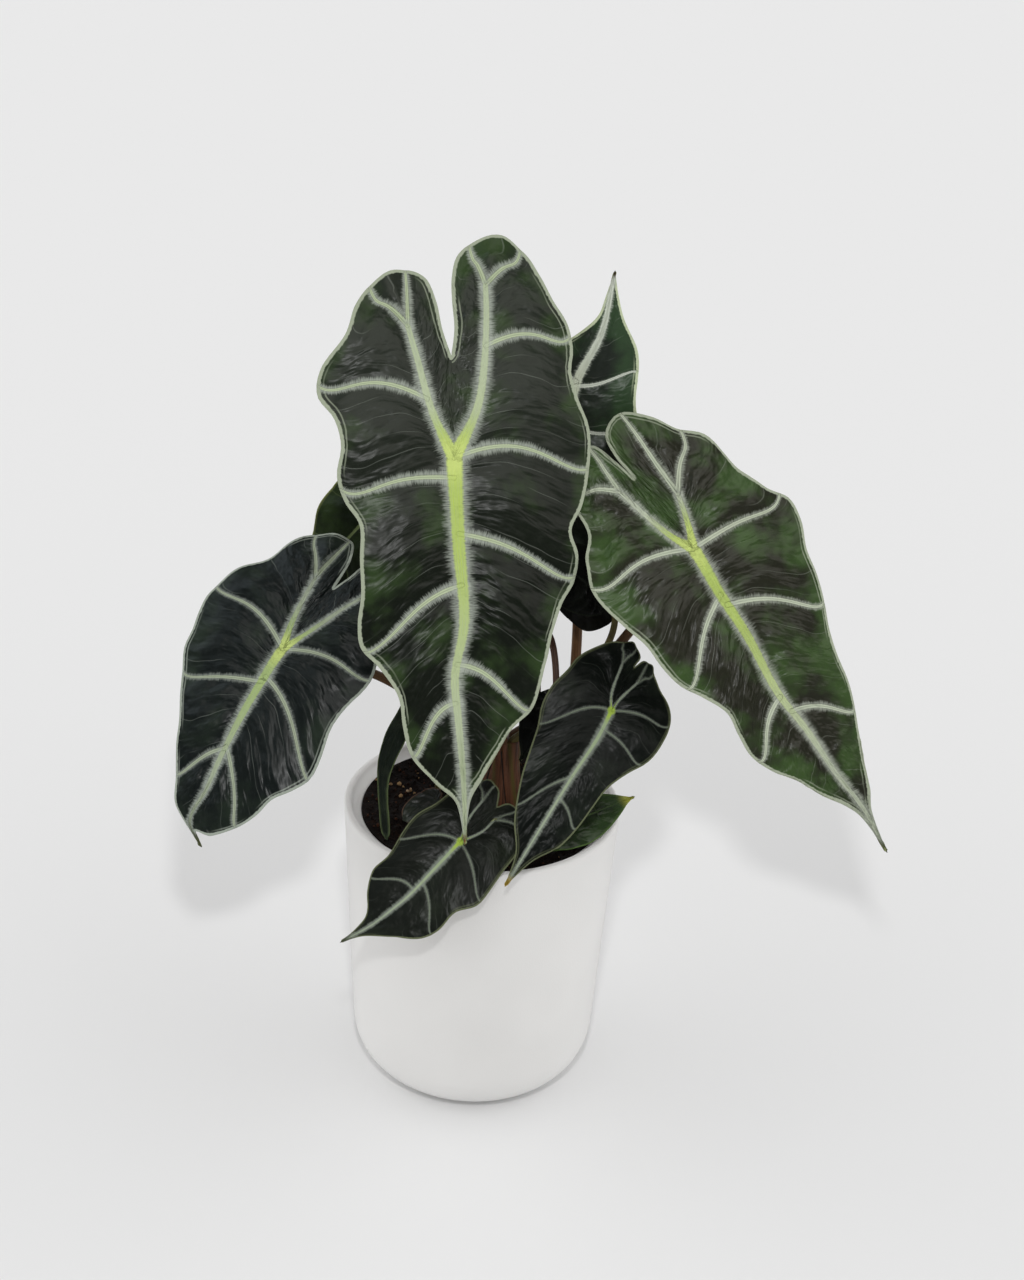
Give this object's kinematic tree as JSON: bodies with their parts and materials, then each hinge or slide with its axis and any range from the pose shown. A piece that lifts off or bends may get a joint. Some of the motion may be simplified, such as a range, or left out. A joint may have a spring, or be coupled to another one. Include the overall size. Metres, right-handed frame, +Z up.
{
  "type": "potted plant",
  "caption": "Potted elephant-ear houseplant: dark arrow-shaped leaves with broad pale veins on arching stalks, in a matt white round pot with a rounded bottom edge.",
  "frame": {"origin": "centre of the pot's flat underside, on the surface it stands on", "axes": "+Z up, -Y towards the pictured front, +X to the viewer's right"},
  "size_m": [0.3462, 0.162, 0.4375],
  "materials": {
    "pot": "matt white glaze, smooth",
    "soil": "dark crumbly potting mix",
    "sheath": "maroon-brown stalk bases, slightly glossy",
    "stem": "brown to olive stalks, satin",
    "leaf": "glossy near-black green with pale veins and margin, maroon underside",
    "young_leaf": "softly glossy green"
  },
  "bodies": {
    "root": {"pot": "pot", "soil": "soil", "crown": "sheath", "blade_centre": "leaf", "petiole_centre": "stem", "blade_right": "leaf", "petiole_right": "stem", "blade_left": "leaf", "petiole_left": "stem", "blade_back": "leaf", "petiole_back": "stem", "blade_low_right": "leaf", "petiole_low_right": "stem", "blade_low_front": "leaf", "petiole_low_front": "stem", "blade_rim_right": "young_leaf", "petiole_rim_right": "stem", "blade_back_left": "leaf", "petiole_back_left": "stem", "blade_behind_right": "leaf", "petiole_behind_right": "stem", "blade_inner": "leaf", "petiole_inner": "stem", "blade_soil_left": "young_leaf", "petiole_soil_left": "stem", "blade_seedling": "young_leaf", "petiole_seedling": "stem"}
  },
  "joints": []
}
